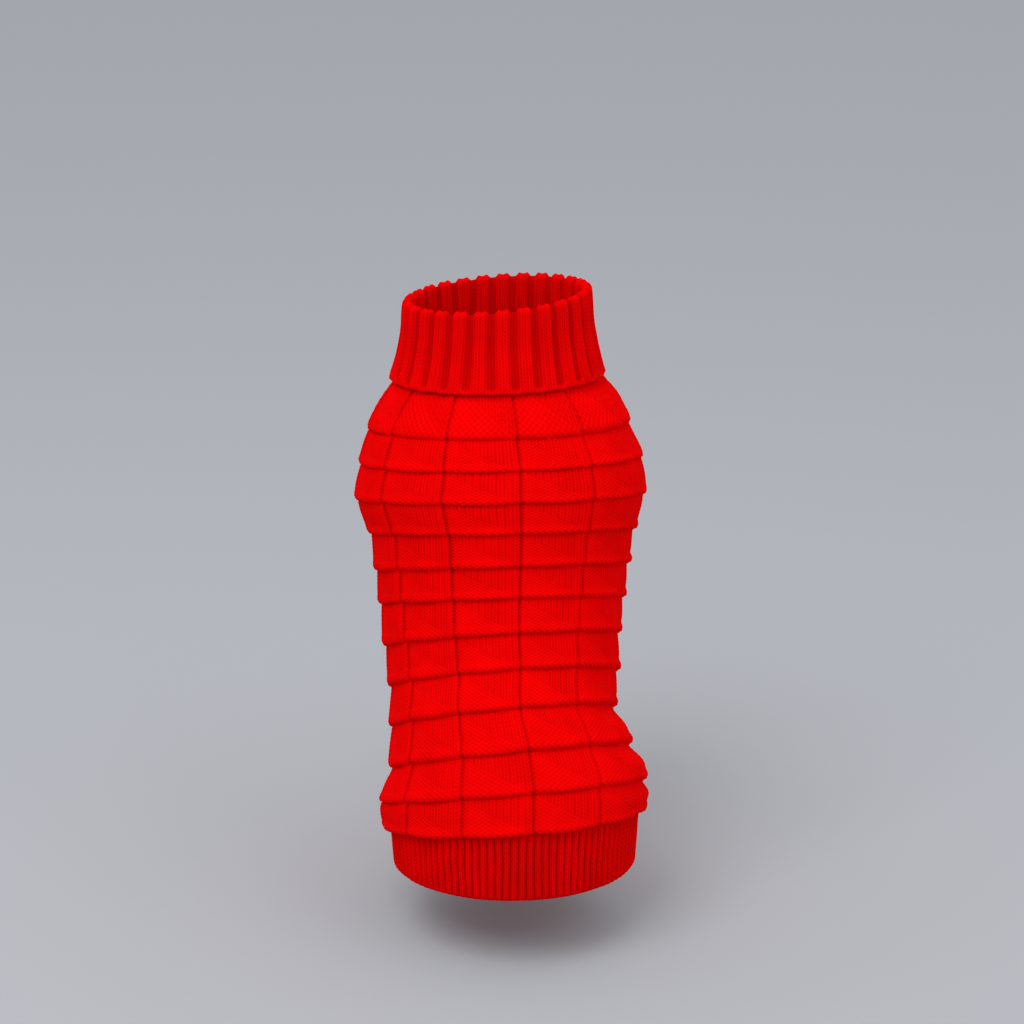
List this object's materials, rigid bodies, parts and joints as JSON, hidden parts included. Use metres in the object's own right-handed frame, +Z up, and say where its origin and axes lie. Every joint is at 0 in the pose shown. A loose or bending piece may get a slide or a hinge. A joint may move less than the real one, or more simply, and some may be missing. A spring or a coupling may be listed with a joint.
{
  "type": "dog sweater",
  "caption": "Knitted roll-neck dog sweater in its worn, hollow shape: turned-down rib collar, stepped courses of pennant blocks, rib hem and short rib leg cuffs.",
  "frame": {"origin": "the middle of the neck seam, where the wearer's neck holds the sweater up", "axes": "+Z up the neck, -Y out of the back, +Y out of the chest, +X to the wearer's right flank"},
  "size_m": [0.1704, 0.2321, 0.3289],
  "materials": {
    "block_knit": "soft brushed red yarn, knit and purl blocks, matt with a short nap",
    "rib_knit": "soft brushed red yarn in elastic rib, matt, darker between the ribs"
  },
  "bodies": {
    "root": {"back_panel": "block_knit", "belly_panel": "rib_knit", "collar": "rib_knit", "hem_band": "rib_knit", "leg_cuff_left": "rib_knit", "leg_cuff_right": "rib_knit"}
  },
  "joints": []
}
